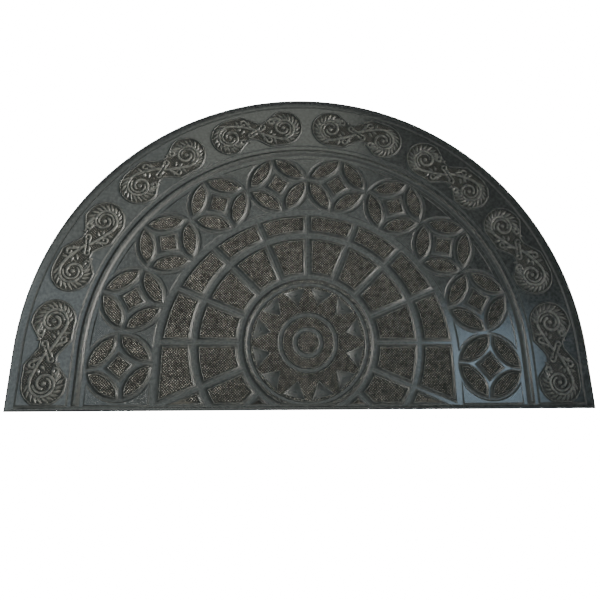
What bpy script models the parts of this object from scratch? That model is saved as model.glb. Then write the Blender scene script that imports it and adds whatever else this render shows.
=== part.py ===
"""Half-round moulded rubber doormat, 750 mm wide and 450 mm deep, as one flat solid.

The sheet lies on the ground with its face up. The origin is at the middle of its underside,
X runs along the flat edge and Y points away from it, towards the crown of the half circle.
The pattern stands up from the face. Each of its shapes is a closed outline with a level, and
a shape covers those painted before it, so a ring is a wide disc with a narrower one on top.
"""
import math

import bmesh
import bpy
from mathutils import Vector
from mathutils.geometry import delaunay_2d_cdt

MM = 0.001

# Outline of the sheet: a half circle on two short straight sides
WIDTH = 750 * MM
DEPTH = 450 * MM
SIDE = DEPTH - WIDTH / 2
OUTLINE_CENTRE = Vector((0, SIDE))
PATTERN_CENTRE = Vector((0, 72.5 * MM))   # of the arches inside the border's outer side
STRIP = 7.5 * MM                    # plain strip along the flat edge

# Heights above the ground
EDGE = 1.8 * MM                     # thin outer edge, where the rim slopes down
RIM = 3.0 * MM                      # inner side of the rim
FLOOR = 4.0 * MM                    # smooth channels between the raised shapes
FIELD = 5.2 * MM                    # border behind the cartouches, corners between the roundels
RIDGE = 6.6 * MM
PAD = 7.0 * MM                      # tips of the pins

# Radii of the arches: the border's outer side is about the outline's centre, the rest about the pattern's
BORDER_OUTER = 365.5 * MM
CARTOUCHE_PATH = 329.5 * MM
BORDER_INNER = 300.0 * MM
RIDGE_OUTER = 292.6 * MM
RIDGE_INNER = 285.4 * MM
ROUNDEL_ZONE_OUTER = 277.8 * MM
ROUNDEL_PATH = 240.0 * MM
ROUNDEL_ZONE_INNER = 200.3 * MM
CELLS_OUTER = 188.9 * MM

# Cartouches of the border: two round ends joined by a waist, with a notch in each long side
CARTOUCHES_A_SIDE = 4
CARTOUCHE_FIRST = 74.6 * MM         # along the path from the middle of the mat
CARTOUCHE_PITCH = 147.5 * MM
CARTOUCHE_END = 28.5 * MM
CARTOUCHE_REACH = 39.5 * MM         # from the middle to the centre of an end
CARTOUCHE_WAIST = 13.0 * MM         # from the path to the bottom of a notch
NOTCH_SHIFT = 9.0 * MM              # outer notch towards the crown, inner notch away from it
NOTCH_HALF_WIDTH = 24.0 * MM
NOTCH_HALF_BOTTOM = 4.0 * MM
CARTOUCHE_STEPS = 44

# Roundels: a circle with four petals about a square pad
ROUNDELS_A_SIDE = 5
ROUNDEL_FIRST = math.radians(10.0)  # angle about the pattern's centre from the middle of the mat
ROUNDEL_PITCH = math.radians(21.07)
ROUNDEL_LEAN = math.radians(2.8)    # turn of each roundel towards the flat edge
ROUNDEL_HOLLOW = 44.6 * MM          # smooth ring round the petals, to the corners between roundels
PETAL_CIRCLE = 39.5 * MM
PETAL_INNER_CIRCLE = 37.8 * MM      # about the corners of the square round the petal circle
PETAL_CLEARANCE = 3.2 * MM          # half of the spur between two petals
SQUARE_PAD = 16.8 * MM              # half of its diagonal

# Rings and medallion, as radii about the medallion centre
MEDALLION_CENTRE = Vector((0, 85 * MM))
OUTER_RING_INNER = 153.0 * MM
INNER_RING_OUTER = 142.4 * MM
INNER_RING_INNER = 93.2 * MM
MEDALLION_RADII = (84.5 * MM, 79.4 * MM, 75.3 * MM, 38.5 * MM, 33.9 * MM, 19.8 * MM, 15.2 * MM)
DIVIDERS = range(-2, 11)            # multiples of the divider angle from the X axis
DIVIDER_ANGLE = math.radians(22.5)
DIVIDER_WIDTH = 8.0 * MM
TRIANGLES = 12
TRIANGLE_BASE = 70.8 * MM           # radius of the two outer corners
TRIANGLE_TIP = 54.0 * MM
TRIANGLE_HALF_ANGLE = math.radians(9.5)

FACET = 0.28 * MM                   # greatest distance from a round outline to its chords
MERGE = 0.02 * MM


def polar(centre, radius, angle):
    """Point at a radius and an angle from the X axis about a centre."""
    return Vector((centre[0] + radius * math.cos(angle), centre[1] + radius * math.sin(angle)))


def arc(centre, radius, start, stop):
    """Points along an arc, near enough for each chord to stay within FACET of it."""
    step = 2 * math.acos(1 - FACET / radius)
    count = max(2, math.ceil(abs(stop - start) / step))
    return [polar(centre, radius, start + (stop - start) * i / count) for i in range(count + 1)]


def circle(centre, radius):
    return arc(centre, radius, 0, 2 * math.pi)[:-1]


def arch(radius, centre=PATTERN_CENTRE, foot=STRIP):
    """Outline of a half circle about a centre, on straight legs down to a foot line."""
    crown = math.pi / 2
    curve = arc(centre, radius, 0, crown) + arc(centre, radius, crown, math.pi)[1:]
    return [Vector((radius, foot))] + curve + [Vector((-radius, foot))]


def on_arch(radius, along):
    """Point and outward direction at a distance along an arch from its crown, left if negative."""
    side = math.copysign(1, along)
    quarter = radius * math.pi / 2
    if abs(along) < quarter:
        angle = math.pi / 2 - along / radius
        outward = Vector((math.cos(angle), math.sin(angle)))
        return PATTERN_CENTRE + radius * outward, outward
    outward = Vector((side, 0))
    return PATTERN_CENTRE + radius * outward - Vector((0, abs(along) - quarter)), outward


def cut_at_strip(outline):
    """The part of an outline above the plain strip of the flat edge."""
    kept = []
    for here, after in zip(outline, outline[1:] + outline[:1]):
        if here.y >= STRIP:
            kept.append(here)
        if (here.y - STRIP) * (after.y - STRIP) < 0:
            kept.append(here.lerp(after, (STRIP - here.y) / (after.y - here.y)))
    return kept


def notched(along, notch):
    """Half width of a cartouche with round ends, cut in towards its waist about a notch."""
    beyond = max(abs(along) - CARTOUCHE_REACH, 0)
    full = math.sqrt(max(CARTOUCHE_END ** 2 - beyond ** 2, 0))
    depth = (NOTCH_HALF_WIDTH - abs(along - notch)) / (NOTCH_HALF_WIDTH - NOTCH_HALF_BOTTOM)
    return full + (min(full, CARTOUCHE_WAIST) - full) * min(max(depth, 0), 1)


def cartouche(middle):
    """Outline of a cartouche bent along the border's arch, its notches mirrored on the left."""
    half_length = CARTOUCHE_REACH + CARTOUCHE_END
    shift = math.copysign(NOTCH_SHIFT, middle)
    turns = [math.pi * i / CARTOUCHE_STEPS for i in range(CARTOUCHE_STEPS + 1)]
    stations = [half_length * math.cos(turn) for turn in turns]
    outer = [(along, notched(along, -shift)) for along in stations]
    inner = [(along, -notched(along, shift)) for along in stations[-2:0:-1]]
    outline = []
    for along, offset in outer + inner:
        point, outward = on_arch(CARTOUCHE_PATH, middle + along)
        outline.append(point + outward * offset)
    return outline


def petal(turn):
    """One lens between the petal circle and a like circle about the square's corner.

    The lens is cut short at each tip, where the spur between two petals runs.
    """
    corner = Vector((PETAL_CIRCLE, PETAL_CIRCLE))
    inset = math.asin(PETAL_CLEARANCE / PETAL_CIRCLE)
    inner_start = math.asin((PETAL_CIRCLE - PETAL_CLEARANCE) / PETAL_INNER_CIRCLE)
    outer = arc((0, 0), PETAL_CIRCLE, inset, math.pi / 2 - inset)
    inner = arc(corner, PETAL_INNER_CIRCLE, math.pi * 1.5 - (math.pi / 2 - inner_start),
                math.pi + (math.pi / 2 - inner_start))
    return [turned(point, turn) for point in outer + inner[::-1]]


def turned(point, angle):
    cosine, sine = math.cos(angle), math.sin(angle)
    return Vector((point[0] * cosine - point[1] * sine, point[0] * sine + point[1] * cosine))


def roundel(number, side):
    """Outlines of a roundel, counted from the crown: hollow circle, petals, square pad."""
    from_crown = ROUNDEL_FIRST + number * ROUNDEL_PITCH
    centre = polar(PATTERN_CENTRE, ROUNDEL_PATH, math.pi / 2 - side * from_crown)
    heading = math.pi / 2 - side * (from_crown + ROUNDEL_LEAN)
    petals = [petal(heading + quarter * math.pi / 2) for quarter in range(4)]
    square = [polar((0, 0), SQUARE_PAD, heading + quarter * math.pi / 2) for quarter in range(4)]
    placed = [[centre + point for point in outline] for outline in petals + [square]]
    return circle(centre, ROUNDEL_HOLLOW), placed


def reach(angle, radius):
    """Distance from the medallion centre to an arch of a radius, along a ray at an angle."""
    rise = MEDALLION_CENTRE.y - PATTERN_CENTRE.y
    cosine, sine = math.cos(angle), math.sin(angle)
    to_circle = -rise * sine + math.sqrt(radius ** 2 - (rise * cosine) ** 2)
    if rise + to_circle * sine >= 0:
        return to_circle
    return radius / abs(cosine)


def divider(angle):
    """Channel with parallel sides from round the medallion out past the outer ring."""
    start = (MEDALLION_RADII[0] + INNER_RING_INNER) / 2
    stop = reach(angle, (CELLS_OUTER + ROUNDEL_ZONE_INNER) / 2)
    half = DIVIDER_WIDTH / 2
    corners = ((start, -half), (stop, -half), (stop, half), (start, half))
    return [MEDALLION_CENTRE + turned(corner, angle) for corner in corners]


def triangle(angle):
    """Smooth triangle of the medallion, its tip towards the centre."""
    return [polar(MEDALLION_CENTRE, TRIANGLE_BASE, angle - TRIANGLE_HALF_ANGLE),
            polar(MEDALLION_CENTRE, TRIANGLE_BASE, angle + TRIANGLE_HALF_ANGLE),
            polar(MEDALLION_CENTRE, TRIANGLE_TIP, angle)]


def border_shapes():
    """Border, cartouches and ridge, each with its level and the level that it may cover."""
    shapes = [(arch(BORDER_OUTER, OUTLINE_CENTRE), FIELD, None)]
    for number in range(CARTOUCHES_A_SIDE):
        middle = CARTOUCHE_FIRST + number * CARTOUCHE_PITCH
        shapes.append((cartouche(middle), PAD, None))
        shapes.append((cartouche(-middle), PAD, None))
    shapes.append((arch(BORDER_INNER), FLOOR, None))
    shapes.append((arch(RIDGE_OUTER), RIDGE, None))
    shapes.append((arch(RIDGE_INNER), FLOOR, None))
    return shapes


def ring_shapes():
    """The two rings of cells between their dividers."""
    shapes = [(arch(ROUNDEL_ZONE_OUTER), FIELD, None), (arch(ROUNDEL_ZONE_INNER), FLOOR, None),
              (arch(CELLS_OUTER), PAD, None)]
    for radius, level in ((OUTER_RING_INNER, FLOOR), (INNER_RING_OUTER, PAD)):
        shapes.append((circle(MEDALLION_CENTRE, radius), level, None))
    for number in DIVIDERS:
        shapes.append((divider(number * DIVIDER_ANGLE), FLOOR, PAD))
    return shapes


def medallion_shapes():
    """Concentric pads and channels, with a wreath of smooth triangles in the widest pad."""
    shapes = [(circle(MEDALLION_CENTRE, INNER_RING_INNER), FLOOR, None)]
    for number, radius in enumerate(MEDALLION_RADII):
        shapes.append((circle(MEDALLION_CENTRE, radius), FLOOR if number % 2 else PAD, None))
    for number in range(TRIANGLES):
        angle = (number + 0.5) * 2 * math.pi / TRIANGLES
        shapes.append((triangle(angle), FLOOR, None))
    return shapes


def roundel_shapes():
    """All roundels. Their hollow circles cover only the stippled corners."""
    shapes = []
    for number in range(ROUNDELS_A_SIDE):
        for side in (-1, 1):
            hollow, pads = roundel(number, side)
            shapes.append((hollow, FLOOR, FIELD))
            shapes.extend((pad, PAD, None) for pad in pads)
    return shapes


def painted_plan(shapes):
    """Flat triangles of the whole face, each with the level of the last shape over it."""
    outlines = [arch(WIDTH / 2, OUTLINE_CENTRE, foot=0)] + [cut_at_strip(shape[0]) for shape in shapes]
    points, loops = [], []
    for outline in outlines:
        loops.append(list(range(len(points), len(points) + len(outline))))
        points.extend(outline)
    corners, _, faces, _, _, owners = delaunay_2d_cdt(points, [], loops, 1, MERGE)
    levels = []
    for inside in owners:
        level = RIM
        for number in sorted(inside):
            if number == 0:
                continue
            _, height, over = shapes[number - 1]
            if over is None or level == over:
                level = height
        levels.append(level)
    return corners, faces, levels


def levels_at_corners(corners, faces, levels):
    """The levels that meet at each corner, lowest first."""
    around = [set() for _ in corners]
    for face, level in zip(faces, levels):
        for index in face:
            around[index].add(level)
    return [sorted(found) for found in around]


def lay_faces(mesh, corners, faces, levels):
    """Each face at its level, with upright walls where two levels meet.

    Returns the points by corner and level, and the edges of the outline in order of turning.
    """
    around = levels_at_corners(corners, faces, levels)
    points, beside = {}, {}
    for index, corner in enumerate(corners):
        for level in around[index]:
            points[index, level] = mesh.verts.new((corner.x, corner.y - DEPTH / 2, level))
    for face, level in zip(faces, levels):
        mesh.faces.new([points[index, level] for index in face])
        for start, end in zip(face, face[1:] + face[:1]):
            beside[start, end] = level
    outline = {}
    for (start, end), level in beside.items():
        low = beside.get((end, start))
        if low is None:
            outline[start] = end
        elif low < level:
            down = [points[start, height] for height in reversed(around[start]) if low <= height <= level]
            up = [points[end, height] for height in around[end] if low <= height <= level]
            mesh.faces.new(down + up)
    return points, outline


def close_underside(mesh, points, outline):
    """Slope the rim down to its thin edge, and close the sheet down to the ground."""
    first = next(iter(outline))
    loop = [first]
    while outline[loop[-1]] != first:
        loop.append(outline[loop[-1]])
    top = [points[index, RIM] for index in loop]
    for vertex in top:
        vertex.co.z = EDGE
    foot = [mesh.verts.new((vertex.co.x, vertex.co.y, 0)) for vertex in top]
    for here in range(len(loop)):
        after = (here + 1) % len(loop)
        mesh.faces.new([top[here], foot[here], foot[after], top[after]])
    mesh.faces.new(foot[::-1])


def rubber():
    material = bpy.data.materials.new("moulded rubber")
    material.use_nodes = True
    shader = material.node_tree.nodes["Principled BSDF"]
    shader.inputs["Base Color"].default_value = (0.022, 0.026, 0.026, 1)
    shader.inputs["Roughness"].default_value = 0.5
    shader.inputs["Metallic"].default_value = 0
    return material


def make_mat():
    """The whole sheet as one closed body."""
    shapes = border_shapes() + ring_shapes() + medallion_shapes() + roundel_shapes()
    mesh = bmesh.new()
    points, outline = lay_faces(mesh, *painted_plan(shapes))
    close_underside(mesh, points, outline)
    data = bpy.data.meshes.new("mat")
    mesh.to_mesh(data)
    mesh.free()
    sheet = bpy.data.objects.new("mat", data)
    sheet.data.materials.append(rubber())
    bpy.context.scene.collection.objects.link(sheet)


for item in list(bpy.data.objects):
    bpy.data.objects.remove(item)
make_mat()
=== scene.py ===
"""Looks of a half-round moulded rubber doormat, 750 mm by 450 mm, lying on a pale floor.

Plan shapes are complex numbers in millimetres: the real part runs along the flat edge and the
imaginary part away from it. The shared frame is in metres, with its origin on the floor under the
middle of the mat.
"""
import math

import bmesh
import bpy
import numpy as np
from mathutils import Matrix, Vector
from mathutils.geometry import delaunay_2d_cdt


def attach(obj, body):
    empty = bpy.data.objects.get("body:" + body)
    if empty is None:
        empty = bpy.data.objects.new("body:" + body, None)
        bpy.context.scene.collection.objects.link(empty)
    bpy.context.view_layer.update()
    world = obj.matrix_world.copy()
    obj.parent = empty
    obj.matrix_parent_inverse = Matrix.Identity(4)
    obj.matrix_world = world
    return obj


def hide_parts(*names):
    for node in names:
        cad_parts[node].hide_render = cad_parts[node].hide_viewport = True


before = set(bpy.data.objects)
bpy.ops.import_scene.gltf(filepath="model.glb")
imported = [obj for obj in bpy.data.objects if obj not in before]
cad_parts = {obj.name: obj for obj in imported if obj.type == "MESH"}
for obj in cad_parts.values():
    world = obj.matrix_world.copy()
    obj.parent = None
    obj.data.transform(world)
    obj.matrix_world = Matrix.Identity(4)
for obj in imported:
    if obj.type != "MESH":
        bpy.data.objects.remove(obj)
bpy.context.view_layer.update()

MM = 0.001
UP = 1j
QUARTER = math.pi / 2

# Outline, the plain strip along its flat edge, and heights above the ground
WIDTH, DEPTH = 750.0, 450.0
OUTLINE_CENTRE = UP * (DEPTH - WIDTH / 2)
PATTERN_CENTRE = UP * 72.5
UNDERSIDE_MIDDLE = UP * DEPTH * 0.4
STRIP = 7.5
EDGE, FLOOR, FIELD = 1.8, 4.0, 5.2
PAD_FLOOR, PIN_TOP = 5.3, 6.9
RIDGE_TOP = 6.6

# Radii of the arches: the border's outer side is about the outline's centre, the rest about the pattern's
BORDER_OUTER, BORDER_INNER = 360.5, 300.0
RIDGE_OUTER, RIDGE_INNER = 292.6, 285.4
ZONE_OUTER, ZONE_INNER = 277.8, 200.3
CELLS_OUTER = 188.9

# Cartouches: middles along their path from the crown, round ends, waist, and a notch in each long side
CARTOUCHE_PATH = 329.5
CARTOUCHE_MIDDLES = 74.6 + 147.5 * np.arange(4)
CARTOUCHE_POINTS = 90
END, REACH, WAIST = 28.5, 39.5, 13.0
NOTCH_SHIFT, NOTCH_HALF_WIDTH, NOTCH_HALF_BOTTOM = 9.0, 24.0, 4.0
NOTCH_LEAN = 0.79                   # cosine of the slope of a notch's sides

# Roundels: hollow ring, the two circles of a petal and its gap from the axes, half diagonal of the square
ROUNDEL_PATH = 240.0
ROUNDEL_ANGLES = np.radians(10.0 + 21.07 * np.arange(5))
ROUNDEL_LEAN = math.radians(2.8)
HOLLOW, PETAL_CIRCLE, PETAL_INNER, CLEARANCE, SQUARE = 44.6, 39.5, 37.8, 3.2, 16.8

# Rings and medallion: radii about the medallion's centre, from the outside in
MEDALLION = UP * 85.0
RING_EDGES = (153.0, 142.4, 93.2)
OUTER_RING_INNER, INNER_RING_OUTER, INNER_RING_INNER = RING_EDGES
MEDALLION_EDGES = (84.5, 79.2, 75.9, 38.5, 34.5, 19.3, 15.2)
THIN_OUTER, THIN_INNER, WIDE_OUTER, WIDE_INNER, MIDDLE_OUTER, MIDDLE_INNER, HUB = MEDALLION_EDGES
DIVIDER_ANGLE = math.radians(22.5)
DIVIDER_HALF, DIVIDER_START, DIVIDER_STOP = 4.0, 88.5, 215.0
TRIANGLES = 12
TRIANGLE_BASE, TRIANGLE_TIP, TRIANGLE_HALF_ANGLE = 70.8, 54.0, math.radians(9.5)

# Finishes of the sheet: smooth ground, satin edges, dusty ground between pins, scrolls' ground in painted
# shade
SMOOTH, EDGED, PINNED, SHADED_SCROLL_GROUND = range(4)

# Zones of the plan, in order of rank: a wall rises from a lower one to a higher one
RIM_ZONE, FLOOR_ZONE, FIELD_ZONE, RIDGE_ZONE, PAD_ZONE = range(5)
NO_ZONE = -1

# Sections over an edge: distance in from the wall, height
FOOT_SECTION = ((-2.9, FLOOR), (-2.1, 4.08), (-1.3, 4.3), (-0.55, 4.62))
WALL_HEAD, HEAD_HEIGHT = 0.1, 4.98
FIELD_INSET = 0.7
PAD_SECTION = ((WALL_HEAD, HEAD_HEIGHT), (0.45, 5.6), (0.85, 6.2), (1.25, 6.64), (1.65, 6.9), (2.0, 7.0),
               (2.3, 6.88), (2.5, 6.4), (2.65, PAD_FLOOR))
RIDGE_SECTION = ((WALL_HEAD, HEAD_HEIGHT), (0.6, 5.5), (1.2, 5.98), (1.9, 6.34), (2.6, 6.53),
                 (3.3, RIDGE_TOP))
RIM_SECTION = ((2.6, 3.5), (1.6, 3.32), (0.8, 2.95), (0.25, 2.4), (0.0, EDGE), (0.0, 0.5), (0.35, 0.0))

# Where the sections differ: shares of a full foot or rim, and the triangles' drop for a millimetre of foot
NARROW_FOOT, TRIANGLE_FOOT, GROOVE_RIM = 0.65, 1.7, 0.85
TRIANGLE_DIP = 0.5
CROWN_FLOOR = 0.3                   # half of the level floor between the two roundels at the crown
LOW_HEAD = -0.25                    # inset of the head of the low walls over the rim and the border

# Reach of the walls out over the rim, and the height of their feet by the strip and round the arch
RIM_FOOT, STRIP_HEIGHT, BEVEL_HEIGHT = 2.7, 3.55, 4.6

# Fineness of curves and tolerances: bends in radians, lengths in millimetres but where a line says metres
FACET = 0.08
MERGE, SLIVER = 0.01, 0.06
GENTLE_BEND, MITRE_REACH, JOINED_POINTS = 0.3, 4.2, 6
LONGEST_MITRE = 1.8
PROBES, CLEAR_SHARE = np.arange(0.4, 3.3, 0.3), 0.7
FAR_OUTSIDE = -1e3
SHARP_EDGE, NEARLY_UPRIGHT = math.radians(50), 0.9999
SHEET_MERGE, SCROLL_MERGE = 1e-6, 1e-7          # metres


# Plan outlines
def arc(centre, radius, start, stop):
    """Points centre + radius e^(i t), t from start to stop, chords within FACET of the arc."""
    step = 2 * math.acos(1 - FACET / radius)
    count = max(2, math.ceil(abs(stop - start) / step))
    return centre + radius * np.exp(1j * np.linspace(start, stop, count + 1))


def arch(radius, centre=PATTERN_CENTRE, foot=STRIP):
    """Half circle about a centre, on straight legs down to a foot line."""
    curve = np.concatenate([arc(centre, radius, 0, QUARTER), arc(centre, radius, QUARTER, math.pi)[1:]])
    return np.concatenate([[radius + UP * foot], curve, [-radius + UP * foot]])


def on_border(along, offset):
    """Plan points at distances along the cartouche path from its crown, and outwards from it."""
    turn = np.clip(along / CARTOUCHE_PATH, -QUARTER, QUARTER)
    outward = 1j * np.exp(-1j * turn)
    down = np.abs(along) - QUARTER * CARTOUCHE_PATH
    return PATTERN_CENTRE + outward * (CARTOUCHE_PATH + offset) - UP * np.maximum(down, 0)


def notched(along, notch):
    """Half width of a cartouche: a capsule's, narrowed linearly to the waist about a notch."""
    beyond = np.maximum(np.abs(along) - REACH, 0)
    full = np.sqrt(np.maximum(END ** 2 - beyond ** 2, 0))
    depth = (NOTCH_HALF_WIDTH - np.abs(along - notch)) / (NOTCH_HALF_WIDTH - NOTCH_HALF_BOTTOM)
    return full + (np.minimum(full, WAIST) - full) * np.clip(depth, 0, 1)


def cartouche(middle, side):
    """Outline of a cartouche at a distance from the crown, on the right (1) or the left (-1)."""
    turns = np.linspace(0, math.pi, CARTOUCHE_POINTS)
    along = (REACH + END) * np.cos(turns)
    outer = on_border(side * (middle + along), notched(along, -NOTCH_SHIFT))
    inner = on_border(side * (middle + along), -notched(along, NOTCH_SHIFT))
    return np.concatenate([outer, inner[-2:0:-1]])


def roundel_places():
    """Centre and heading of every roundel."""
    places = []
    for side in (-1, 1):
        for angle in ROUNDEL_ANGLES:
            centre = PATTERN_CENTRE + ROUNDEL_PATH * np.exp(1j * (QUARTER - side * angle))
            places.append((centre, QUARTER - side * (angle + ROUNDEL_LEAN)))
    return places


def petal(turn):
    """Lens between the petal circle and a circle about the corner of its square."""
    corner = PETAL_CIRCLE * (1 + 1j)
    inset = math.asin(CLEARANCE / PETAL_CIRCLE)
    start = math.asin((PETAL_CIRCLE - CLEARANCE) / PETAL_INNER)
    outer = arc(0, PETAL_CIRCLE, inset, QUARTER - inset)
    inner = arc(corner, PETAL_INNER, math.pi + start, math.pi * 1.5 - start)
    return np.concatenate([outer, inner[::-1]]) * np.exp(1j * turn)


def triangle(angle):
    """Corners of a triangle of the medallion: two on its base, and the tip nearer the centre."""
    base = TRIANGLE_BASE * np.exp(1j * TRIANGLE_HALF_ANGLE * np.array((-1, 1)))
    return MEDALLION + np.append(base, TRIANGLE_TIP) * np.exp(1j * angle)


def divider(angle):
    """Channel with parallel sides along a ray from the medallion's centre."""
    along = np.array((DIVIDER_START, DIVIDER_STOP, DIVIDER_STOP, DIVIDER_START))
    across = DIVIDER_HALF * np.array((-1, -1, 1, 1))
    return MEDALLION + (along + 1j * across) * np.exp(1j * angle)


def cut_at_strip(outline):
    """The part of an outline above the strip, with a point where it crosses."""
    after = np.roll(outline, -1)
    kept = outline.imag >= STRIP
    crossing = (outline.imag - STRIP) * (after.imag - STRIP) < 0
    share = np.where(crossing, (STRIP - outline.imag) / np.where(crossing, (after - outline).imag, 1), 0)
    both = np.stack([outline, outline + (after - outline) * share], 1).ravel()
    return both[np.stack([kept, crossing], 1).ravel()]


def outlines():
    """Every outline of the pattern, the sheet's own first."""
    found = [arch(BORDER_OUTER, OUTLINE_CENTRE), arch(BORDER_INNER), arch(RIDGE_OUTER), arch(RIDGE_INNER),
             arch(ZONE_OUTER), arch(ZONE_INNER), arch(CELLS_OUTER)]
    found += [cartouche(middle, side) for middle in CARTOUCHE_MIDDLES for side in (-1, 1)]
    found += [arc(MEDALLION, radius, 0, 2 * math.pi)[:-1] for radius in RING_EDGES + MEDALLION_EDGES]
    found += [divider(number * DIVIDER_ANGLE) for number in range(-2, 11)]
    found += [triangle((number + 0.5) * 2 * math.pi / TRIANGLES) for number in range(TRIANGLES)]
    for centre, heading in roundel_places():
        found.append(arc(centre, HOLLOW, 0, 2 * math.pi)[:-1])
        found += [centre + petal(heading + quarter * QUARTER) for quarter in range(4)]
        found.append(centre + SQUARE * np.exp(1j * (heading + QUARTER * np.arange(4))))
    return [arch(WIDTH / 2, OUTLINE_CENTRE, foot=0)] + [cut_at_strip(outline) for outline in found]


# Depth inside each kind of shape, in millimetres, negative outside
def in_arch(place, radius, centre=PATTERN_CENTRE):
    """Radius minus the distance from the centre, or from the axis below it."""
    from_centre = place - centre
    return radius - np.where(from_centre.imag > 0, np.abs(from_centre), np.abs(from_centre.real))


def least(*depths):
    """Depth in what several shapes have in common: the least of theirs."""
    return np.minimum.reduce(depths)


def in_medallion(place):
    """Depth in the pinned rings of the medallion, outside its triangles."""
    spoke = place - MEDALLION
    far = np.abs(spoke)
    turn = 2 * math.pi / TRIANGLES
    fold = np.abs((np.angle(spoke) % turn) - turn / 2)
    along, across = far * np.cos(fold), far * np.sin(fold)
    base = TRIANGLE_BASE * math.cos(TRIANGLE_HALF_ANGLE)
    run, rise = base - TRIANGLE_TIP, TRIANGLE_BASE * math.sin(TRIANGLE_HALF_ANGLE)
    slope = ((along - TRIANGLE_TIP) * rise - across * run) / math.hypot(run, rise)
    hollow = least(base - along, slope)
    rings = (least(THIN_OUTER - far, far - THIN_INNER), least(WIDE_OUTER - far, far - WIDE_INNER, -hollow),
             least(MIDDLE_OUTER - far, far - MIDDLE_INNER), HUB - far)
    return least(np.maximum.reduce(rings), place.imag - STRIP)


def in_cells(place):
    """Depth in the cells of the two rings."""
    spoke = place - MEDALLION
    far = np.abs(spoke)
    off = (np.angle(spoke) + DIVIDER_ANGLE / 2) % DIVIDER_ANGLE - DIVIDER_ANGLE / 2
    clear = far * np.abs(np.sin(off)) - DIVIDER_HALF
    outer = least(in_arch(place, CELLS_OUTER), far - OUTER_RING_INNER)
    inner = least(INNER_RING_OUTER - far, far - INNER_RING_INNER)
    return least(np.maximum(outer, inner), clear, place.imag - STRIP)


def in_roundels(place):
    """Depth in the petals and squares of the roundels."""
    deepest = np.full(place.shape, FAR_OUTSIDE)
    for centre, heading in roundel_places():
        spoke = (place - centre) * np.exp(-1j * heading)
        folded = np.abs(spoke.real) + 1j * np.abs(spoke.imag)
        lens = least(PETAL_CIRCLE - np.abs(folded), PETAL_INNER - np.abs(folded - PETAL_CIRCLE * (1 + 1j)),
                     folded.real - CLEARANCE, folded.imag - CLEARANCE)
        square = (SQUARE - folded.real - folded.imag) / math.sqrt(2)
        deepest = np.maximum(deepest, np.maximum(lens, square))
    return deepest


def along_border(place):
    """Distance along the cartouche path from the crown, unsigned, and outward offset from it."""
    from_centre = place - PATTERN_CENTRE
    above = from_centre.imag > 0
    turn = np.abs(np.angle(from_centre * -1j))
    along = np.where(above, CARTOUCHE_PATH * turn, CARTOUCHE_PATH * QUARTER - from_centre.imag)
    return along, np.where(above, np.abs(from_centre), np.abs(from_centre.real)) - CARTOUCHE_PATH


def in_cartouches(place):
    """Depth in the cartouches: a capsule's, or the height below a notch's sloping side."""
    along, offset = along_border(place)
    deepest = np.full(place.shape, FAR_OUTSIDE)
    for middle in CARTOUCHE_MIDDLES:
        here = along - middle
        capsule = END - np.hypot(np.maximum(np.abs(here) - REACH, 0), offset)
        notch = least(notched(here, -NOTCH_SHIFT) - offset, notched(here, NOTCH_SHIFT) + offset)
        depth = np.where(np.abs(here) < REACH, least(capsule, notch * NOTCH_LEAN), capsule)
        deepest = np.maximum(deepest, depth)
    return least(deepest, place.imag - STRIP)


def in_pads(place):
    """Depth in any of the raised pads."""
    depths = [in_medallion(place), in_cells(place), in_roundels(place), in_cartouches(place)]
    return np.maximum.reduce(depths)


def in_spandrels(place):
    """Depth in the corners between the roundels' hollows and the arches beside them."""
    deepest = least(in_arch(place, ZONE_OUTER), -in_arch(place, ZONE_INNER), place.imag - STRIP)
    for centre, _ in roundel_places():
        deepest = least(deepest, np.abs(place - centre) - HOLLOW)
    return deepest


def in_grooves(place):
    """Depth in the parts of the medallion that hold its shallow grooves, all but the ring of triangles."""
    far = np.abs(place - MEDALLION)
    beside = np.maximum(far - WIDE_OUTER, WIDE_INNER - far)
    return least(THIN_OUTER - far, beside, place.imag - STRIP)


def by_groove(place):
    """Whether a place is on the wide ring's outer edge, its inner one or nearer the middle: narrow rims."""
    far = np.abs(place - MEDALLION)
    return (far < WIDE_INNER + 1) | (np.abs(far - WIDE_OUTER) < 1)


def zone_of(place):
    """Rank of the zone at each place."""
    zone = np.full(place.shape, RIM_ZONE)
    zone[(in_arch(place, BORDER_OUTER, OUTLINE_CENTRE) > 0) & (place.imag > STRIP)] = FIELD_ZONE
    inner = (in_arch(place, BORDER_INNER) > 0) & (place.imag > STRIP)
    zone[inner] = FLOOR_ZONE
    zone[inner & (least(in_arch(place, RIDGE_OUTER), -in_arch(place, RIDGE_INNER)) > 0)] = RIDGE_ZONE
    zone[(in_spandrels(place) > SLIVER) | (in_grooves(place) > 0)] = FIELD_ZONE
    zone[in_pads(place) > 0] = PAD_ZONE
    return zone


# The sheet
def triangulated(places, edges, loops):
    """Corners and triangles inside closed edges or loops, cut wherever they cross."""
    points = np.stack([places.real, places.imag], 1).tolist()
    corners, _, faces, *_ = delaunay_2d_cdt(points, edges, loops, 1, MERGE)
    return np.array([complex(*corner) for corner in corners]), np.array(faces)


def without_crowded(corners, starts, ends):
    """Edges joined over the points of a gentle bend that lie within a mitre's reach of a sharp corner."""
    size = len(corners)
    step = corners[ends] - corners[starts]
    before, after, follow = np.zeros(size, complex), np.zeros(size, complex), np.zeros(size, int)
    before[ends], after[starts], follow[starts] = step, step, ends
    simple = (np.bincount(starts, minlength=size) == 1) & (np.bincount(ends, minlength=size) == 1)
    gentle = simple & (np.abs(np.angle(after * before.conjugate())) < GENTLE_BEND)
    sharp = corners[~gentle & (np.bincount(starts, minlength=size) > 0)]
    near = np.array([np.abs(sharp - corner).min() < MITRE_REACH for corner in corners])
    dropped = gentle & near
    for _ in range(JOINED_POINTS):
        ends = np.where(dropped[ends], follow[ends], ends)
    kept = ~dropped[starts] & ~dropped[ends]
    return starts[kept], ends[kept]


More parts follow.
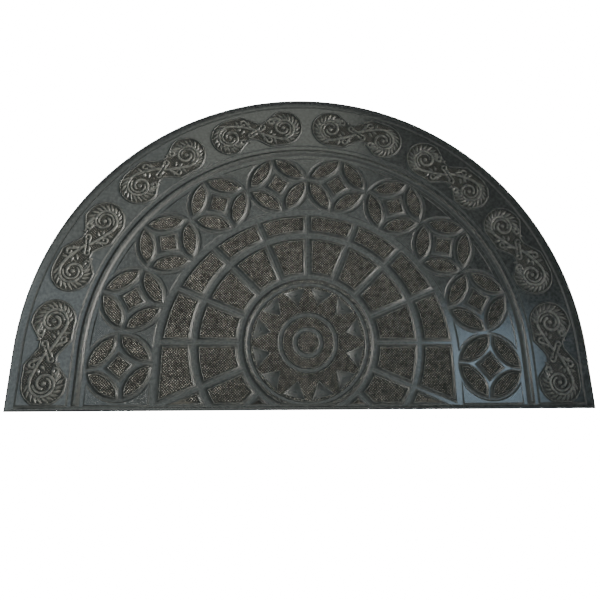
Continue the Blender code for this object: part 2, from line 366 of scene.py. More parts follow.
def flat_plan():
    """Corners of the plan, its triangles and their zones, with no corners but on the zones' borders."""
    loops = outlines()
    first = np.cumsum([0] + [len(outline) for outline in loops])
    ranges = [list(range(start, stop)) for start, stop in zip(first[:-1], first[1:])]
    corners, faces = triangulated(np.concatenate(loops), [], ranges)
    starts, ends, left, right = zone_edges(faces, zone_of(corners[faces].mean(1)))
    border = left > right
    starts, ends = without_crowded(corners, starts[border], ends[border])
    used, pairs = np.unique(np.stack([starts, ends], 1), return_inverse=True)
    corners, faces = triangulated(corners[used], pairs.reshape(-1, 2).tolist(), [])
    return corners, faces, zone_of(corners[faces].mean(1))


def inward_shift(corners, starts, ends):
    """Mitre at each corner of a zone's edges, the zone on their left: 2 s / |s|^2, s the sum of normals."""
    step = corners[ends] - corners[starts]
    normal = 1j * step / np.abs(step)
    total = np.zeros(len(corners), complex)
    np.add.at(total, starts, normal)
    np.add.at(total, ends, normal)
    size = np.abs(total) ** 2
    shift = 2 * total / np.where(size > 0, size, 1)
    return shift * np.minimum(1, LONGEST_MITRE / np.maximum(np.abs(shift), 1e-9))


class Builder:
    """Collects blocks of points and faces of one mesh as arrays."""

    def __init__(self):
        self.points, self.faces, self.finishes, self.count = [], [], [], 0

    def add(self, place, height, parts, finish=0):
        """Points at plan places and heights, in millimetres, with arrays of faces of one finish."""
        self.points.append(np.stack([place.real, place.imag - DEPTH / 2, height], 1) * MM)
        self.more(parts, finish, self.count)
        self.count += len(place)

    def more(self, parts, finish, first):
        """Arrays of faces, of one finish or one for each face, between points from a first one on."""
        self.faces += [np.asarray(part) + first for part in parts]
        self.finishes += [np.broadcast_to(finish, len(part)) for part in parts]

    def make(self, name, materials, merge=None):
        """The finished object, smooth but for sharp edges, with doubles merged if a distance is given."""
        data = bpy.data.meshes.new(name)
        faces = [face for block in self.faces for face in block.tolist()]
        data.from_pydata(np.concatenate(self.points), [], faces)
        for material in materials:
            data.materials.append(material)
        data.polygons.foreach_set("material_index", np.concatenate(self.finishes).astype(np.int32))
        if merge:
            merge_doubles(data, merge)
        data.shade_smooth()
        data.set_sharp_from_angle(angle=SHARP_EDGE)
        piece = bpy.data.objects.new(name, data)
        bpy.context.scene.collection.objects.link(piece)
        return piece


def keep_level(data):
    """Upright normals at the corners of level faces, so that the shading of a slope ends at its edge."""
    normals = np.empty(len(data.polygons) * 3, np.float32)
    data.polygons.foreach_get("normal", normals)
    corner_counts = np.empty(len(data.polygons), np.int32)
    data.polygons.foreach_get("loop_total", corner_counts)
    corners = np.empty(len(data.loops), np.int32)
    data.loops.foreach_get("vertex_index", corners)
    upright = np.zeros((len(data.vertices), 3))
    upright[corners[np.repeat(normals[2::3] > NEARLY_UPRIGHT, corner_counts)], 2] = 1
    data.normals_split_custom_set_from_vertices(upright.tolist())


def merge_doubles(data, distance):
    """Points within a distance made one, and faces without an area taken out."""
    mesh = bmesh.new()
    mesh.from_mesh(data)
    bmesh.ops.remove_doubles(mesh, verts=mesh.verts, dist=distance)
    bmesh.ops.dissolve_degenerate(mesh, edges=mesh.edges, dist=distance)
    mesh.to_mesh(data)
    mesh.free()


def zone_edges(faces, zones):
    """Directed edges of the triangles, with the zone on the left and on the right, NO_ZONE outside."""
    starts, ends = faces.ravel(), np.roll(faces, -1, 1).ravel()
    left = np.repeat(zones, 3)
    size = starts.max() + 1
    keys, back = starts * size + ends, ends * size + starts
    order = np.argsort(keys)
    at = np.minimum(np.searchsorted(keys[order], back), len(keys) - 1)
    right = np.where(keys[order][at] == back, left[order][at], NO_ZONE)
    return starts, ends, left, right


def quads(starts, ends, lower, upper):
    """Faces between two rows of a section along edges, facing right of the way they run."""
    return np.stack([starts + lower, ends + lower, ends + upper, starts + upper], 1)


def room_inside(corners, shift, depth):
    """How far each corner can move along its mitre before the far side of the zone is nearer."""
    room = np.full(len(corners), PROBES[0])
    clear = np.ones(len(corners), bool)
    for probe in PROBES:
        clear &= depth(corners + shift * probe) > CLEAR_SHARE * probe
        room = np.where(clear, probe, room)
    return room


def foot_shift(corners, up, by_pad, by_triangle):
    """Mitre times the share of a full foot: more at triangles, less without a pad and at the crown."""
    shift = np.where(by_triangle, TRIANGLE_FOOT, np.where(by_pad, 1, NARROW_FOOT)) * up
    roundels = by_pad & (least(in_arch(corners, ZONE_OUTER), -in_arch(corners, ZONE_INNER)) > 0)
    crown_gap = np.clip((np.abs(corners.real) - CROWN_FLOOR) / -FOOT_SECTION[0][0], 0, 1)
    return shift * np.where(roundels, crown_gap, 1)


def level_points(corners, edges):
    """Corners in rows up the walls: the rim, the hollow foot of a wall row by row, its head, the field."""
    starts, ends, left, right = edges
    steps = (right == NO_ZONE, (left >= FLOOR_ZONE) & (right == RIM_ZONE),
             (left >= FIELD_ZONE) & (right < FIELD_ZONE), (left > FIELD_ZONE) & (right == FIELD_ZONE))
    mitres = [inward_shift(corners, starts[step], ends[step]) for step in steps]
    rim, over_rim, over_floor, over_field = mitres
    on_floor_wall = np.abs(over_floor) > 0
    by_strip = corners.imag < STRIP + MERGE
    ground = np.where(by_strip | (np.abs(over_rim) == 0), FLOOR, BEVEL_HEIGHT)
    rim_inset, rim_height = RIM_SECTION[0]
    rows = [corners - RIM_FOOT * over_rim + rim_inset * rim]
    heights = [np.where(np.abs(rim) > 0, rim_height, np.where(by_strip, STRIP_HEIGHT, BEVEL_HEIGHT))]
    from_medallion = np.abs(corners - MEDALLION)
    by_triangle = (from_medallion > TRIANGLE_TIP - 1) & (from_medallion < TRIANGLE_BASE + 1)
    by_pad = np.isin(np.arange(len(corners)), starts[left == PAD_ZONE])
    foot = foot_shift(corners, over_floor, by_pad, by_triangle)
    for inset, level in FOOT_SECTION:
        rows.append(corners + np.where(on_floor_wall, inset * foot, LOW_HEAD * over_rim))
        dip = np.where(by_triangle, TRIANGLE_DIP * inset, 0)
        heights.append(np.where(on_floor_wall, np.maximum(level, ground) + dip, FLOOR))
    for inset, level in ((WALL_HEAD, HEAD_HEIGHT), (FIELD_INSET, FIELD)):
        rows.append(corners + np.where(on_floor_wall, inset * over_floor, LOW_HEAD * over_field))
        heights.append(np.where(on_floor_wall, level, FIELD))
    return rows, heights


def raise_zone(builder, plan, edges, rank, section, head):
    """The rounded section along a zone's edges, from the head of its wall on, and the level cap inside."""
    corners, faces, zones = plan
    starts, ends, left, right = edges
    size = len(corners)
    edge = (left == rank) & (right != rank)
    first, last = starts[edge], ends[edge]
    shift = inward_shift(corners, first, last)
    insets, levels = np.array(section).T
    cap = faces[zones == rank]
    room, ground = np.full(size, insets[-1]), SMOOTH
    if rank == PAD_ZONE:
        room = room_inside(corners, shift, in_pads)
        # Cartouche caps get the darker scroll ground: painted shade between the scrolls.
        ground = np.where(in_cartouches(corners[cap].mean(1)) > 0, SHADED_SCROLL_GROUND, PINNED)
    narrowed = np.where(by_groove(corners), GROOVE_RIM, 1)
    rows, heights = [head[0]], [head[1]]
    for inset in insets[1:]:
        reach = np.minimum(inset, room / narrowed)
        rows.append(corners + shift * reach * narrowed)
        heights.append(np.interp(reach, insets, levels))
    base = builder.count
    builder.add(np.concatenate(rows), np.concatenate(heights), [cap + (len(rows) - 1) * size], ground)
    walls = [quads(first, last, row * size, (row + 1) * size) for row in range(len(rows) - 1)]
    builder.more(walls, EDGED, base)


def sheet_mesh(materials):
    """The whole sheet: flat zones, leaning walls, and the rounded sections along pads and ridge."""
    plan = corners, faces, zones = flat_plan()
    edges = starts, ends, left, right = zone_edges(faces, zones)
    size = len(corners)
    builder = Builder()
    places, heights = level_points(corners, edges)
    head_row = len(places) - 2
    flat = [faces[zones == rank] + row * size
            for rank, row in ((RIM_ZONE, 0), (FLOOR_ZONE, 1), (FIELD_ZONE, head_row + 1))]
    builder.add(np.concatenate(places), np.concatenate(heights), flat, SMOOTH)
    rim_wall = (left >= FLOOR_ZONE) & (right == RIM_ZONE)
    floor_wall = (left >= FIELD_ZONE) & (right < FIELD_ZONE) & (right != NO_ZONE)
    shoulder = (left == FIELD_ZONE) & (right != FIELD_ZONE)
    steps = [(rim_wall, 0)] + [(floor_wall, row) for row in range(1, head_row)] + [(shoulder, head_row)]
    walls = [quads(starts[edge], ends[edge], row * size, (row + 1) * size) for edge, row in steps]
    builder.more(walls, EDGED, 0)
    head = places[head_row], heights[head_row]
    for rank, section in ((PAD_ZONE, PAD_SECTION), (RIDGE_ZONE, RIDGE_SECTION)):
        raise_zone(builder, plan, edges, rank, section, head)
    outer = right == NO_ZONE
    close_rim(builder, corners, starts[outer], ends[outer])
    sheet = builder.make("mat_sheet", materials, merge=SHEET_MERGE)
    keep_level(sheet.data)
    return sheet


def close_rim(builder, corners, starts, ends):
    """Rounded outer edge and the flat underside, as a fan about a point in the middle."""
    shift = inward_shift(corners, starts, ends)
    size = len(corners)
    rows = [corners + shift * inset for inset, _ in RIM_SECTION] + [np.array([UNDERSIDE_MIDDLE])]
    heights = [np.full(size, level) for _, level in RIM_SECTION] + [[0.0]]
    middle = len(RIM_SECTION) * size
    parts = [quads(starts, ends, row + size, row) for row in range(0, middle - size, size)]
    parts.append(np.stack([ends + middle - size, starts + middle - size, np.full(len(starts), middle)], 1))
    builder.add(np.concatenate(rows), np.concatenate(heights), parts)


# Pins: rings of radius and height from the root up, and how far in from the edge of their field they stand
PITCH, FINE_PITCH = 2.5, 2.0
PIN_ROOT = PAD_FLOOR - 0.1
TALL_PIN = ((0.95, PIN_ROOT), (0.8, 6.4), (0.5, PIN_TOP))
LOW_PIN = ((0.7, PIN_ROOT), (0.55, 5.9), (0.28, 6.2))
DOT = ((0.6, FIELD - 0.05), (0.3, FIELD + 0.4))
PIN_CLEAR, MEDALLION_CLEAR, SCROLL_CLEAR, DOT_CLEAR = 3.5, 2.0, 0.9, 1.3
PIN_SIDES, DOT_SIDES = 6, 5


def lattice(pitch):
    """Square lattice on its corner over the whole sheet: pitch (i + j, i - j) / sqrt 2."""
    count = int(WIDTH / pitch) + 2
    steps = np.arange(-count, count)
    row, column = np.meshgrid(steps, steps)
    place = (row + column + 1j * (row - column)) * pitch / math.sqrt(2)
    return place[(np.abs(place.real) < WIDTH / 2) & (place.imag > 0) & (place.imag < DEPTH)]


def turned(builder, places, rings, sides):
    """Turned shapes: place + r e^(2 pi i (n + 1/2) / sides) for each ring, closed at both ends."""
    turn = np.exp(2j * math.pi * (np.arange(sides) + 0.5) / sides)
    total = len(places) * sides
    blocks = [(places[:, None] + radius * turn).ravel() for radius, _ in rings]
    heights = [np.full(total, level) for _, level in rings]
    here = np.arange(total)
    after = here - here % sides + (here + 1) % sides
    band = np.stack([here, after, after + total, here + total], 1)
    parts = [band + row * total for row in range(len(rings) - 1)]
    parts.append(here.reshape(-1, sides) + total * (len(rings) - 1))
    parts.append(here.reshape(-1, sides)[:, ::-1])
    builder.add(np.concatenate(blocks), np.concatenate(heights), parts)


def pins(name, places, rings, sides, material):
    """One piece of many equal pins."""
    builder = Builder()
    turned(builder, places, rings, sides)
    return builder.make(name, [material])


# Scrollwork of the cartouches, drawn along and across one, for the half beyond its middle: its spirals,
# the leaves round the volute, and loose leaves as foot, length and direction in degrees
MIDDLE_OF_END = REACH + 0j
VOLUTE = dict(centre=MIDDLE_OF_END, radii=(18.2, 5.6), start=110.0, turn=-470.0)
INNER_VOLUTE = dict(centre=MIDDLE_OF_END, radii=(13.3, 6.6), start=90.0, turn=-250.0)
LOW_CURL = dict(centre=24.0 - 12.5j, radii=(4.6, 2.2), start=275.0, turn=-330.0)
HIGH_CURL = dict(centre=16.5 + 17.0j, radii=(4.4, 2.2), start=180.0, turn=-330.0)
WAIST_CURL = dict(centre=9.5 - 5.5j, radii=(4.2, 2.0), start=90.0, turn=-330.0)
SPIRAL_STEP = 10.0
LEAF_ANGLES = np.arange(88.0, -140.0, -17.0)
LEAF_GAP, LEAF_TIPS, LEAF_LEAN = 1.2, 25.6, 24.0
LOOSE_LEAVES = ((1 + 2j, 11, 152), (17 + 6.5j, 9, -42), (21 + 9.5j, 8, -12), (24 + 15j, 10, 78),
                (17 - 11j, 7, -120), (10 + 11j, 8, 100))

# Heights and half widths of the scrollwork, and how finely it is divided
SCROLL_ROOT = PAD_FLOOR - 0.05
RIB_CREST, LEAF_CREST, LEAF_HALF = 6.95, 6.85, 2.3
BOSS = ((3.0, SCROLL_ROOT), (2.7, 6.3), (1.9, 6.8), (0.7, 7.0))
BEND_POINTS, RIB_SIDES, LEAF_ROWS, LEAF_SIDES, BOSS_SIDES = 14, 9, 9, 6, 12
BATCHES = 40                        # of places measured at once, to spare memory


def spiral(centre, radii, start, turn):
    """centre + r e^(i a), radius and angle both running evenly, a point every SPIRAL_STEP degrees."""
    share = np.linspace(0, 1, int(abs(turn) / SPIRAL_STEP) + 1)
    radius = radii[0] + (radii[1] - radii[0]) * share
    return centre + radius * np.exp(1j * np.radians(start + turn * share))


def bend(start, leave, stop, arrive):
    """Cubic from one point to another, with its step given at both ends."""
    t = np.linspace(0, 1, BEND_POINTS)
    return (start * (2 * t ** 3 - 3 * t ** 2 + 1) + leave * (t ** 3 - 2 * t ** 2 + t)
            + stop * (3 * t ** 2 - 2 * t ** 3) + arrive * (t ** 3 - t ** 2))


def stroke(length, degrees):
    """Step of a length in a direction."""
    return length * np.exp(1j * math.radians(degrees))


def scroll_lines():
    """Ribs of a half ornament: plan line, half width at its start and end."""
    volute, low, high, waist = [spiral(**curl) for curl in (VOLUTE, LOW_CURL, HIGH_CURL, WAIST_CURL)]
    stem = bend(0, stroke(26, 52), volute[0], stroke(26, 20))
    low_stem = bend(MIDDLE_OF_END + stroke(15.0, 262), stroke(12, 172), low[0], stroke(8, 185))
    high_stem = bend(6.5 + 7.5j, stroke(9, 55), high[0], stroke(8, 90))
    waist_stem = bend(2.0 + 1.0j, stroke(6, 0), waist[0], stroke(5, 0))
    return [(np.append(stem, volute[1:]), 2.2, 1.8), (spiral(**INNER_VOLUTE), 1.6, 1.4),
            (np.append(low_stem, low[1:]), 1.8, 1.3), (np.append(high_stem, high[1:]), 1.8, 1.3),
            (np.append(waist_stem, waist[1:]), 1.6, 1.2)]


def leaf_ends():
    """Feet and tips of the leaves that stand round the volute and at the waist."""
    passed = (VOLUTE["start"] - LEAF_ANGLES) / -VOLUTE["turn"]
    start, stop = VOLUTE["radii"]
    radius = start + (stop - start) * passed
    feet = MIDDLE_OF_END + (radius + LEAF_GAP) * np.exp(1j * np.radians(LEAF_ANGLES))
    tips = MIDDLE_OF_END + LEAF_TIPS * np.exp(1j * np.radians(LEAF_ANGLES - LEAF_LEAN))
    loose_feet = [foot for foot, _, _ in LOOSE_LEAVES]
    loose_tips = [foot + stroke(length, degrees) for foot, length, degrees in LOOSE_LEAVES]
    return np.append(feet, loose_feet), np.append(tips, loose_tips)


def closed_grids(rows, columns, blocks=1):
    """Quads of tubes of points, one after another: rows along each, columns round it back to the first."""
    row, column = np.meshgrid(np.arange(rows - 1), np.arange(columns), indexing="ij")
    here, after = row * columns + column, row * columns + (column + 1) % columns
    quad = np.stack([here, after, after + columns, here + columns], 2).reshape(-1, 4)
    return (quad[None] + (np.arange(blocks) * rows * columns)[:, None, None]).reshape(-1, 4)


def rib(builder, line, half):
    """Flattened half round along a line: across w v, height h (1 - v^4)^0.5, dying away at round ends."""
    step = np.gradient(line)
    normal = 1j * step / np.abs(step)
    far = np.concatenate([[0], np.cumsum(np.abs(np.diff(line)))])
    near_end = np.minimum(np.minimum(far, far[-1] - far) / half, 1)
    swell = np.sqrt(np.clip(1 - (1 - near_end) ** 2, 1e-3, 1))
    v = np.cos(np.linspace(0, math.pi, RIB_SIDES))
    place = line[:, None] + (normal * half * swell)[:, None] * v
    height = SCROLL_ROOT + (RIB_CREST - PAD_FLOOR) * swell[:, None] * np.sqrt(1 - v ** 4)
    first_end = np.arange(len(v))[None]
    parts = [closed_grids(*place.shape), first_end[:, ::-1], first_end + place.size - len(v)]
    builder.add(place.ravel(), height.ravel(), parts)


def leaves(builder, feet, tips):
    """Pointed domes: half width w sin(pi t^0.7), height h (1 - v^2) sin(pi t^0.7)^0.5."""
    t = np.linspace(0, 1, LEAF_ROWS)[None, :, None]
    v = np.linspace(1, -1, LEAF_SIDES)[None, None, :]
    swell = np.maximum(np.sin(math.pi * t ** 0.7), 0)
    run = (tips - feet)[:, None, None]
    place = feet[:, None, None] + run * t + 1j * run / np.abs(run) * LEAF_HALF * swell * v
    height = SCROLL_ROOT + (LEAF_CREST - PAD_FLOOR) * np.sqrt(swell) * (1 - v ** 2)
    heights = np.broadcast_to(height, place.shape).ravel()
    builder.add(place.ravel(), heights, [closed_grids(*place.shape[1:], len(feet))])


def half_ornaments():
    """Side, middle and half of each ornament's own plane, two for each cartouche."""
    return [(side, middle, half) for side in (-1, 1) for middle in CARTOUCHE_MIDDLES for half in (-1, 1)]


def laid(local, side, middle, half):
    """Points of a half ornament's own plane, on the sheet."""
    return on_border(side * (middle + half * local.real), half * local.imag)


def scrollwork(material):
    """All the ribs, leaves and bosses of the cartouches."""
    builder = Builder()
    feet, tips = leaf_ends()
    for ornament in half_ornaments():
        for line, wide, narrow in scroll_lines():
            rib(builder, laid(line, *ornament), np.linspace(wide, narrow, len(line)))
        leaves(builder, laid(feet, *ornament), laid(tips, *ornament))
        turned(builder, laid(np.array([MIDDLE_OF_END]), *ornament), BOSS, BOSS_SIDES)
    return builder.make("scrollwork", [material], merge=SCROLL_MERGE)


def clear_of_scrolls(place):
    """Distance from each place to the nearest rib, leaf or boss, a leaf taken as five marks in a row."""
    feet, tips = leaf_ends()
    spread = (feet[:, None] + (tips - feet)[:, None] * np.linspace(0.1, 0.9, 5)).ravel()
    local, radii = [spread, [MIDDLE_OF_END]], [np.full(len(spread), LEAF_HALF * 0.8), [BOSS[0][0]]]
    for line, wide, narrow in scroll_lines():
        local.append(line)
        radii.append(np.linspace(wide, narrow, len(line)))
    marks = np.concatenate([laid(np.concatenate(local), *ornament) for ornament in half_ornaments()])
    radii = np.tile(np.concatenate(radii), len(half_ornaments()))
    batches = np.array_split(place, BATCHES)
    return np.concatenate([(np.abs(batch[:, None] - marks) - radii).min(1) for batch in batches])


# Materials: height over which the rubbed tone, wear and painted highlight, comes in and depth of the relief,
# in metres
RUB_AND_HIGHLIGHT_BAND, RELIEF = 0.0005, 0.0004


class Nodes:
    """Short way to add nodes and links to a tree."""

    def __init__(self, tree):
        self.tree = tree

    def add(self, kind, *links, **values):
        """A new node with its own settings, and each socket with what feeds it, a socket or a value."""
        node = self.tree.nodes.new("ShaderNode" + kind)
        for key, value in values.items():
            setattr(node, key, value)
        for socket, source in links:
            target = node.inputs[socket]
            if isinstance(source, bpy.types.NodeSocket):
                self.tree.links.new(source, target)
            else:
                target.default_value = source
        return node


def group(name, inputs, outputs):
    """A new node group with named sockets: its tree, its nodes, and the sockets inside at both ends."""
    tree = bpy.data.node_groups.new(name, "ShaderNodeTree")
    for label, kind, value in inputs:
        socket = tree.interface.new_socket(label, in_out="INPUT", socket_type="NodeSocket" + kind)
        if value is not None:
            socket.default_value = value
    for label, kind in outputs:
        tree.interface.new_socket(label, in_out="OUTPUT", socket_type="NodeSocket" + kind)
    given, out = tree.nodes.new("NodeGroupInput"), tree.nodes.new("NodeGroupOutput")
    return tree, Nodes(tree), given.outputs, out.inputs


def worn_and_highlight_rubber_group():
    """Fine grain, cloudy bloom, and tips paler from wear and a painted highlight, over Object coordinates.

    Amount of bloom = (patch + 1) dust Bloom: the tone runs from deep to bloom with it, then to the rubbed
    and highlight tone with dust times the height above Rub And Highlight Height, full at
    RUB_AND_HIGHLIGHT_BAND: a painted highlight on the tips as well as wear. Roughness = Gloss + 0.1 amount.
    Height = 0.35 speck + Grain times the finest noise.
    """
    tree, nodes, given, out = group(
        "worn rubber and painted highlight",
        [("Place", "Vector", None), ("Deep Tone", "Color", (0.02, 0.02, 0.02, 1)),
         ("Bloom Tone", "Color", (0.05, 0.05, 0.05, 1)), ("Bloom", "Float", 0.5),
         ("Rub Height", "Float", 0.0066), ("Rubbed Tone", "Color", (0.08, 0.08, 0.08, 1)),
         ("Gloss", "Float", 0.4), ("Grain", "Float", 0.3)],
        [("Tone", "Color"), ("Roughness", "Float"), ("Height", "Float")])
    place = ("Vector", given["Place"])
    cloud = nodes.add("TexNoise", place, ("Scale", 14.0), ("Detail", 5.0), ("Roughness", 0.6))
    speck = nodes.add("TexNoise", place, ("Scale", 230.0), ("Detail", 3.0), ("Roughness", 0.6))
    grain = nodes.add("TexNoise", place, ("Scale", 1500.0), ("Detail", 2.0))
    patch = nodes.add("MapRange", ("Value", cloud.outputs["Fac"]), ("From Min", 0.38), ("From Max", 0.66))
    dust = nodes.add("MapRange", ("Value", speck.outputs["Fac"]), ("From Min", 0.36), ("From Max", 0.64))
    spread = nodes.add("Math", (0, patch.outputs[0]), (1, dust.outputs[0]), (2, dust.outputs[0]),
                       operation="MULTIPLY_ADD")
    amount = nodes.add("Math", (0, spread.outputs[0]), (1, given["Bloom"]),
                       operation="MULTIPLY", use_clamp=True)
    bloomed = nodes.add("Mix", ("Factor", amount.outputs[0]), (6, given["Deep Tone"]),
                        (7, given["Bloom Tone"]), data_type="RGBA")
    height = nodes.add("SeparateXYZ", (0, given["Place"]))
    # Tops above the rub height turn to the paler rubbed tone: partly wear, partly a painted highlight.
    rub_and_highlight_top = nodes.add("Math", (0, given["Rub Height"]), (1, RUB_AND_HIGHLIGHT_BAND), operation="ADD")
    rub_and_highlight = nodes.add("MapRange", ("Value", height.outputs["Z"]), ("From Min", given["Rub Height"]),
                    ("From Max", rub_and_highlight_top.outputs[0]))
    mottled_rub_and_highlight = nodes.add("Math", (0, rub_and_highlight.outputs[0]), (1, dust.outputs[0]), operation="MULTIPLY")
    toned = nodes.add("Mix", ("Factor", mottled_rub_and_highlight.outputs[0]), (6, bloomed.outputs[2]),
                      (7, given["Rubbed Tone"]), data_type="RGBA")
    rougher = nodes.add("Math", (0, amount.outputs[0]), (1, 0.1), (2, given["Gloss"]),
                        operation="MULTIPLY_ADD", use_clamp=True)
    fine = nodes.add("Math", (0, grain.outputs["Fac"]), (1, given["Grain"]), operation="MULTIPLY")
    total = nodes.add("Math", (0, speck.outputs["Fac"]), (1, 0.35), (2, fine.outputs[0]),
                      operation="MULTIPLY_ADD")
    tree.links.new(toned.outputs[2], out["Tone"])
    tree.links.new(rougher.outputs[0], out["Roughness"])
    tree.links.new(total.outputs[0], out["Height"])
    return tree


def rubber_material(name, tree, specular, bump, **values):
    """Principled rubber fed by the group of wear and painted highlight, whose inputs are named with _ for a
    space.
    """
    material = bpy.data.materials.new(name)
    material.use_nodes = True
    nodes = Nodes(material.node_tree)
    shader = material.node_tree.nodes["Principled BSDF"]
    place = nodes.add("TexCoord").outputs["Object"]
    effect = nodes.add("Group", ("Place", place), node_tree=tree)
    for label, value in values.items():
        effect.inputs[label.replace("_", " ")].default_value = value
    height = effect.outputs["Height"]
    relief = nodes.add("Bump", ("Height", height), ("Strength", bump), ("Distance", RELIEF))
    nodes.tree.links.new(effect.outputs["Tone"], shader.inputs["Base Color"])
    nodes.tree.links.new(effect.outputs["Roughness"], shader.inputs["Roughness"])
    nodes.tree.links.new(relief.outputs[0], shader.inputs["Normal"])
    shader.inputs["Specular IOR Level"].default_value = specular
    return material


# Camera: focal length and image middle in pixels, angles in radians, distance and target in millimetres
CAMERA = dict(focal=473.64, tilt=1.300241, swing=-0.184778, roll=0.185841, distance=647.76,
              target=(-2.98, 178.97), middle=(307.51, 274.10))
PATTERN_SHIFT = 2.9                 # from the pattern's middle line to the fitted view's, in millimetres
IMAGE_SIZE, SENSOR_WIDTH = 600.0, 36.0

# Lamps: place, aim and size in metres, power in watts, tint, spread of the beam in degrees
LAMPS = {
    "side window": ((1.8, 0.0, 0.9), (-0.45, 0.0, 0), (0.5, 0.3), 2.4, (1.0, 0.97, 0.9), 19.5),
    "sky panel": ((0.88, -0.07, 1.5), (0.88, -0.07, 0), (0.44, 0.4), 3.6, (0.6, 0.82, 1.0), 180),
    "left panel": ((-1.3, 0.0, 1.5), (-1.3, 0.0, 0), (1.1, 0.8), 5.2, (0.8, 0.94, 1.0), 180),
    "far left panel": ((-1.85, 0.1, 1.5), (-1.85, 0.1, 0), (0.8, 1.0), 7, (0.9, 1.0, 1.0), 180),
    "crown panel": ((-0.1, 1.1, 1.5), (-0.1, 1.1, 0), (0.9, 0.5), 2.6, (0.96, 1.0, 0.88), 180),
    "front panel": ((-0.2, -1.4, 1.1), (-0.1, 0, 0), (1.4, 0.6), 7.5, (0.95, 1.0, 0.95), 180),
    "back panel": ((0.0, 2.1, 0.8), (0, 0, 0), (1.4, 0.5), 2, (0.95, 1.0, 0.95), 180),
    "ceiling panel": ((-0.52, 0.22, 1.5), (-0.52, 0.22, 0), (2.27, 2.0), 16, (0.9, 1.0, 0.96), 180)}
CEILING_TURN = math.radians(23.5)
FLOOR_HALF, WHITE_GLOW = 30.0, 20.0


def make_camera():
    """Pinhole camera from the fitted view: swung and tilted about its target, then rolled."""
    tilt, swing, roll = CAMERA["tilt"], CAMERA["swing"], CAMERA["roll"]
    back = Vector((math.sin(swing) * math.cos(tilt), -math.cos(swing) * math.cos(tilt), math.sin(tilt)))
    level = Vector((math.cos(swing), math.sin(swing), 0))
    steep = back.cross(level)
    right = level * math.cos(roll) + steep * math.sin(roll)
    up = steep * math.cos(roll) - level * math.sin(roll)
    target = Vector((CAMERA["target"][0] + PATTERN_SHIFT, CAMERA["target"][1], 0))
    eye = (target + back * CAMERA["distance"]) * MM - Vector((0, DEPTH / 2 * MM, 0))
    data = bpy.data.cameras.new("view")
    data.sensor_width = SENSOR_WIDTH
    data.lens = CAMERA["focal"] / IMAGE_SIZE * SENSOR_WIDTH
    data.shift_x = (IMAGE_SIZE / 2 - CAMERA["middle"][0]) / IMAGE_SIZE
    data.shift_y = (CAMERA["middle"][1] - IMAGE_SIZE / 2) / IMAGE_SIZE
    data.clip_start = 0.01
    camera = bpy.data.objects.new("view", data)
    rotation = Matrix((right, up, back)).transposed()
    camera.matrix_world = Matrix.Translation(eye) @ rotation.to_4x4()
    bpy.context.scene.collection.objects.link(camera)
    bpy.context.scene.camera = camera


def softbox(name, place, aim, size, power, tint, spread):
    """Rectangular lamp at a place, turned to an aim, its beam within a spread in degrees."""
    data = bpy.data.lights.new(name, "AREA")
    data.shape = "RECTANGLE"
    data.size, data.size_y = size
    data.energy = power
    data.color = tint
    data.spread = math.radians(spread)
    lamp = bpy.data.objects.new(name, data)
    lamp.location = place
    lamp.rotation_euler = (Vector(aim) - Vector(place)).to_track_quat("-Z", "Y").to_euler()
    bpy.context.scene.collection.objects.link(lamp)
    return lamp


def make_floor():
    """Pale floor that the camera sees as white, and that lights the mat only by what it reflects."""
    data = bpy.data.meshes.new("floor")
    corners = [(x * FLOOR_HALF, y * FLOOR_HALF, 0) for x, y in ((-1, -1), (1, -1), (1, 1), (-1, 1))]
    data.from_pydata(corners, [], [(0, 1, 2, 3)])
    material = bpy.data.materials.new("pale floor")
    material.use_nodes = True
    nodes = Nodes(material.node_tree)
    shader = material.node_tree.nodes["Principled BSDF"]
    shader.inputs["Base Color"].default_value = (0.9, 0.9, 0.9, 1)
    shader.inputs["Roughness"].default_value = 0.9
    shader.inputs["Specular IOR Level"].default_value = 0.1
    glow = nodes.add("Emission", ("Color", (1, 1, 1, 1)), ("Strength", WHITE_GLOW))
    seen = nodes.add("LightPath").outputs["Is Camera Ray"]
    both = nodes.add("MixShader", (0, seen), (1, shader.outputs[0]), (2, glow.outputs[0]))
    material.node_tree.links.new(both.outputs[0], material.node_tree.nodes["Material Output"].inputs[0])
    data.materials.append(material)
    floor = bpy.data.objects.new("floor", data)
    bpy.context.scene.collection.objects.link(floor)


def make_world():
    """Dim even light from all round, and a white backdrop for the camera."""
    world = bpy.data.worlds.new("studio")
    world.use_nodes = True
    nodes = Nodes(world.node_tree)
    dim = world.node_tree.nodes["Background"]
    dim.inputs["Color"].default_value = (0.95, 0.98, 1.0, 1)
    dim.inputs["Strength"].default_value = 0.03
    backdrop = nodes.add("Background", ("Color", (1, 1, 1, 1)), ("Strength", WHITE_GLOW))
    seen = nodes.add("LightPath").outputs["Is Camera Ray"]
    both = nodes.add("MixShader", (0, seen), (1, dim.outputs[0]), (2, backdrop.outputs[0]))
    world.node_tree.links.new(both.outputs[0], world.node_tree.nodes["World Output"].inputs[0])
    bpy.context.scene.world = world


def make_light():
    """Warm key from the right, panels overhead for the smooth rubber to mirror, the right one cool."""
    make_world()
    lamps = {name: softbox(name, *values) for name, values in LAMPS.items()}
    lamps["ceiling panel"].rotation_euler = (0, 0, CEILING_TURN)


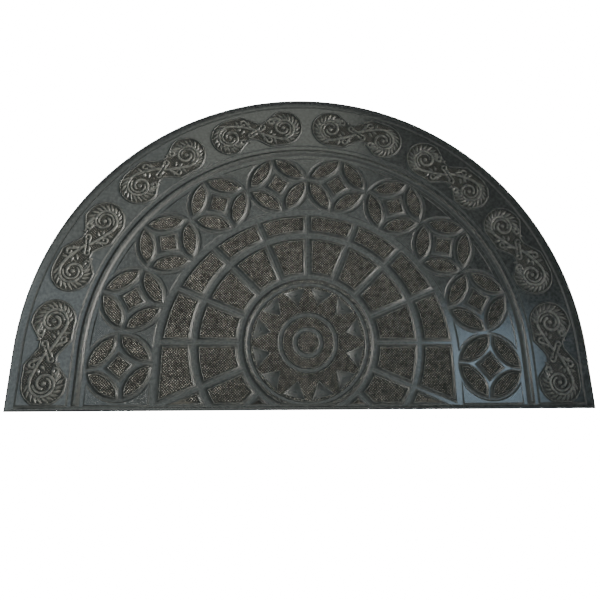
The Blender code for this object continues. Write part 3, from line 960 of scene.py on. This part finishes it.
# Assembly
def make_finishes():
    """The rubber of the sheet's four grounds, the scrolls' one darkened as painted shade, of the pins and of
    the scrolls, by one group of wear and painted highlight.
    """
    tree = worn_and_highlight_rubber_group()
    smooth = rubber_material("smooth rubber", tree, 0.5, 0.2, Deep_Tone=(0.021, 0.022, 0.022, 1),
                             Bloom_Tone=(0.046, 0.048, 0.047, 1), Bloom=0.5, Rub_Height=0.0064,
                             Rubbed_Tone=(0.05, 0.052, 0.048, 1), Gloss=0.13, Grain=0.3)
    edged = rubber_material("edge rubber", tree, 0.5, 0.3, Deep_Tone=(0.018, 0.019, 0.018, 1),
                            Bloom_Tone=(0.04, 0.041, 0.038, 1), Bloom=0.5, Rub_Height=0.0064,
                            Rubbed_Tone=(0.07, 0.07, 0.062, 1), Gloss=0.5, Grain=0.4)
    ground = rubber_material("dusty rubber", tree, 0.25, 0.5, Deep_Tone=(0.019, 0.0178, 0.0155, 1),
                             Bloom_Tone=(0.065, 0.06, 0.051, 1), Bloom=0.7, Rub_Height=0.0064,
                             Rubbed_Tone=(0.06, 0.055, 0.045, 1), Gloss=0.6, Grain=0.6)
    # The ground between the scrolls is darker than the scrolls: painted shade in the recesses.
    scroll_ground_shaded = rubber_material("scroll ground with painted shade", tree, 0.3, 0.5, Deep_Tone=(0.014, 0.014, 0.012, 1),
                             Bloom_Tone=(0.034, 0.032, 0.027, 1), Bloom=0.5, Rub_Height=0.0064,
                             Rubbed_Tone=(0.04, 0.04, 0.035, 1), Gloss=0.5, Grain=0.6)
    # The pin rubber's pale rubbed tone on the pin tops is partly wear, partly a painted highlight.
    pinned = rubber_material("pin rubber", tree, 0.35, 0.4, Deep_Tone=(0.03, 0.028, 0.024, 1),
                             Bloom_Tone=(0.078, 0.073, 0.064, 1), Bloom=0.7, Rub_Height=0.0062,
                             Rubbed_Tone=(0.24, 0.226, 0.2, 1), Gloss=0.46, Grain=0.4)
    scrolled = rubber_material("scroll rubber", tree, 0.5, 0.35, Deep_Tone=(0.032, 0.032, 0.029, 1),
                               Bloom_Tone=(0.075, 0.073, 0.064, 1), Bloom=0.5, Rub_Height=0.0062,
                               Rubbed_Tone=(0.095, 0.093, 0.083, 1), Gloss=0.42, Grain=0.4)
    return smooth, edged, ground, scroll_ground_shaded, pinned, scrolled


def make_mat():
    """The moulded sheet, and the pins, dots and scrollwork on it."""
    smooth, edged, ground, scroll_ground_shaded, pinned, scrolled = make_finishes()
    sheet = sheet_mesh([smooth, edged, ground, scroll_ground_shaded])
    grid, fine = lattice(PITCH), lattice(FINE_PITCH)
    in_border = grid[in_cartouches(grid) > PIN_CLEAR]
    beside_scrolls = in_border[clear_of_scrolls(in_border) > SCROLL_CLEAR]
    parts = [pins("ring_pins", grid[in_cells(grid) > PIN_CLEAR], TALL_PIN, PIN_SIDES, pinned),
             pins("roundel_pins", grid[in_roundels(grid) > PIN_CLEAR], TALL_PIN, PIN_SIDES, pinned),
             pins("medallion_pins", grid[in_medallion(grid) > MEDALLION_CLEAR], TALL_PIN, PIN_SIDES, pinned),
             pins("cartouche_pins", beside_scrolls, LOW_PIN, PIN_SIDES, pinned),
             pins("spandrel_dots", fine[in_spandrels(fine) > DOT_CLEAR], DOT, DOT_SIDES, smooth),
             scrollwork(scrolled)]
    return sheet, parts


make_camera()
make_floor()
make_light()
sheet, parts = make_mat()
for piece in [sheet] + parts:
    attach(piece, "root")
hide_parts("mat")
